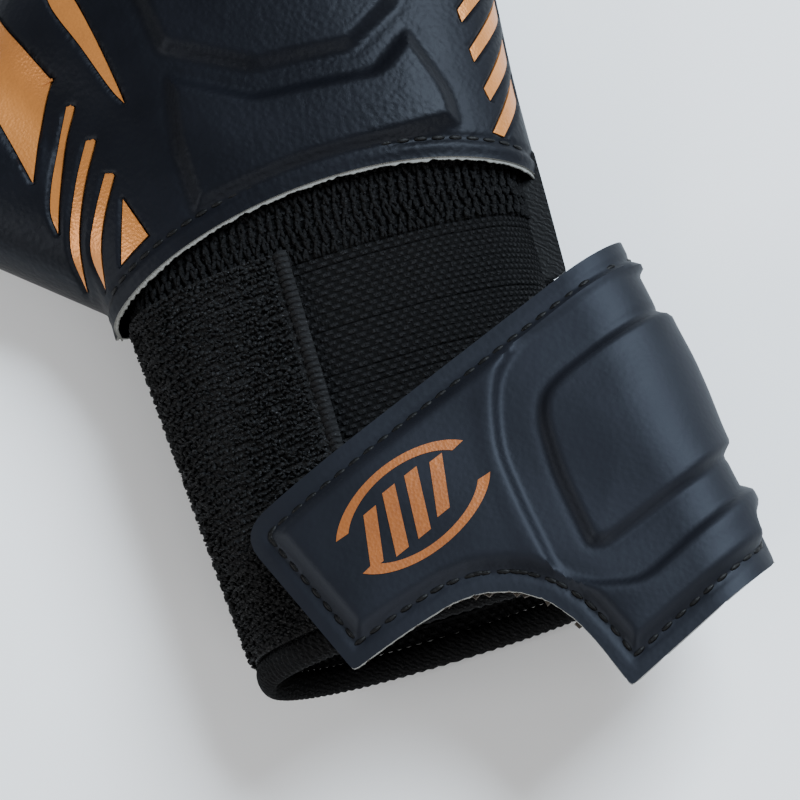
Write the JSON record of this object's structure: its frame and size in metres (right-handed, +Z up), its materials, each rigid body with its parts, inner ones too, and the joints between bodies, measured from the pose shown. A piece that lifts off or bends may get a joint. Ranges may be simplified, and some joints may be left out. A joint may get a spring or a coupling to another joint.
{
  "type": "goalkeeper glove",
  "caption": "Right-hand goalkeeper glove with latex palm, embossed foam back with copper inlays, knitted cuff and a hook-and-loop wrist strap folded over it",
  "frame": {"origin": "middle of the palm's flat underside", "axes": "+Y to the fingertips, +X to the little-finger side, +Z up from the palm to the back of the hand"},
  "size_m": [0.1942, 0.3117, 0.0465],
  "materials": {
    "palm_latex": "matt latex grip foam",
    "backhand_foam": "matt embossed latex skin on foam",
    "strap_foam": "matt embossed latex skin on foam",
    "copper_foil": "satin copper-coloured film",
    "copper_print": "satin copper-coloured print",
    "lining_cloth": "brushed jersey",
    "elastic_knit": "ribbed elastic knit",
    "woven_tape": "narrow woven tape",
    "loop_pile": "loop pile",
    "hook_pile": "moulded hooks"
  },
  "bodies": {
    "hand": {"backhand_shell": "backhand_foam", "copper_underlay_thumb": "copper_foil", "copper_underlay_little": "copper_foil", "back_lining": "lining_cloth", "knuckle_pad": "backhand_foam", "wrist_pad": "backhand_foam", "palm_latex": "palm_latex", "palm_lining": "lining_cloth", "knit_cuff": "elastic_knit", "cuff_hem": "elastic_knit", "loop_band": "loop_pile", "loop_edge_tape": "woven_tape", "side_seam_flange": "woven_tape", "strap_root_tape": "woven_tape"},
    "index_base": {"index_base_palm": "palm_latex", "index_base_back": "backhand_foam"},
    "index_tip": {"index_tip_palm": "palm_latex", "index_tip_back": "backhand_foam"},
    "middle_base": {"middle_base_palm": "palm_latex", "middle_base_back": "backhand_foam"},
    "middle_tip": {"middle_tip_palm": "palm_latex", "middle_tip_back": "backhand_foam"},
    "ring_base": {"ring_base_palm": "palm_latex", "ring_base_back": "backhand_foam"},
    "ring_tip": {"ring_tip_palm": "palm_latex", "ring_tip_back": "backhand_foam"},
    "little_base": {"little_base_palm": "palm_latex", "little_base_back": "backhand_foam"},
    "little_tip": {"little_tip_palm": "palm_latex", "little_tip_back": "backhand_foam"},
    "thumb_base": {"thumb_base_palm": "palm_latex", "thumb_base_back": "backhand_foam"},
    "thumb_tip": {"thumb_tip_palm": "palm_latex", "thumb_tip_back": "backhand_foam"},
    "strap_root_part": {"strap_root_band": "strap_foam"},
    "strap_flap": {"strap_shell": "strap_foam", "strap_lining": "lining_cloth", "hook_patch": "hook_pile", "strap_pad": "strap_foam", "strap_tab_pad": "strap_foam", "strap_emblem": "copper_print"}
  },
  "joints": [
    {"name": "index_knuckle", "type": "hinge", "parent": "hand", "child": "index_base", "pos_m": [-0.0394, 0.05121, 0], "axis": [-0.9976, -0.0698, 0], "range_deg": [0, 80], "stiffness_Nm_per_rad": 0.15},
    {"name": "index_middle_joint", "type": "hinge", "parent": "index_base", "child": "index_tip", "pos_m": [-0.04204, 0.08897, 0], "axis": [-0.9976, -0.0698, 0], "range_deg": [0, 90], "stiffness_Nm_per_rad": 0.1},
    {"name": "middle_knuckle", "type": "hinge", "parent": "hand", "child": "middle_base", "pos_m": [-0.0124, 0.05053, 0], "axis": [-0.9998, -0.0175, 0], "range_deg": [0, 80], "stiffness_Nm_per_rad": 0.15},
    {"name": "middle_middle_joint", "type": "hinge", "parent": "middle_base", "child": "middle_tip", "pos_m": [-0.01313, 0.09237, 0], "axis": [-0.9998, -0.0175, 0], "range_deg": [0, 90], "stiffness_Nm_per_rad": 0.1},
    {"name": "ring_knuckle", "type": "hinge", "parent": "hand", "child": "ring_base", "pos_m": [0.0146, 0.05087, 0], "axis": [-0.999, 0.0436, 0], "range_deg": [0, 80], "stiffness_Nm_per_rad": 0.15},
    {"name": "ring_middle_joint", "type": "hinge", "parent": "ring_base", "child": "ring_tip", "pos_m": [0.0163, 0.08968, 0], "axis": [-0.999, 0.0436, 0], "range_deg": [0, 90], "stiffness_Nm_per_rad": 0.1},
    {"name": "little_knuckle", "type": "hinge", "parent": "hand", "child": "little_base", "pos_m": [0.0404, 0.05155, 0], "axis": [-0.9945, 0.1045, 0], "range_deg": [0, 80], "stiffness_Nm_per_rad": 0.15},
    {"name": "little_middle_joint", "type": "hinge", "parent": "little_base", "child": "little_tip", "pos_m": [0.04373, 0.08323, 0], "axis": [-0.9945, 0.1045, 0], "range_deg": [0, 90], "stiffness_Nm_per_rad": 0.1},
    {"name": "thumb_knuckle", "type": "hinge", "parent": "hand", "child": "thumb_base", "pos_m": [-0.06972, -0.0033, 0], "axis": [-0.6691, -0.7431, 0], "range_deg": [0, 50], "stiffness_Nm_per_rad": 0.15},
    {"name": "thumb_middle_joint", "type": "hinge", "parent": "thumb_base", "child": "thumb_tip", "pos_m": [-0.09413, 0.01868, 0], "axis": [-0.6691, -0.7431, 0], "range_deg": [0, 75], "stiffness_Nm_per_rad": 0.1},
    {"name": "strap_root", "type": "hinge", "parent": "hand", "child": "strap_root_part", "pos_m": [0.04403, -0.071, 0.0215], "axis": [0.02, 0.9998, 0], "range_deg": [0, 80]},
    {"name": "strap_fold", "type": "hinge", "parent": "strap_root_part", "child": "strap_flap", "pos_m": [0.0627, -0.11173, 0.03085], "axis": [-0.1184, 0.993, 0], "range_deg": [0, 170]}
  ]
}
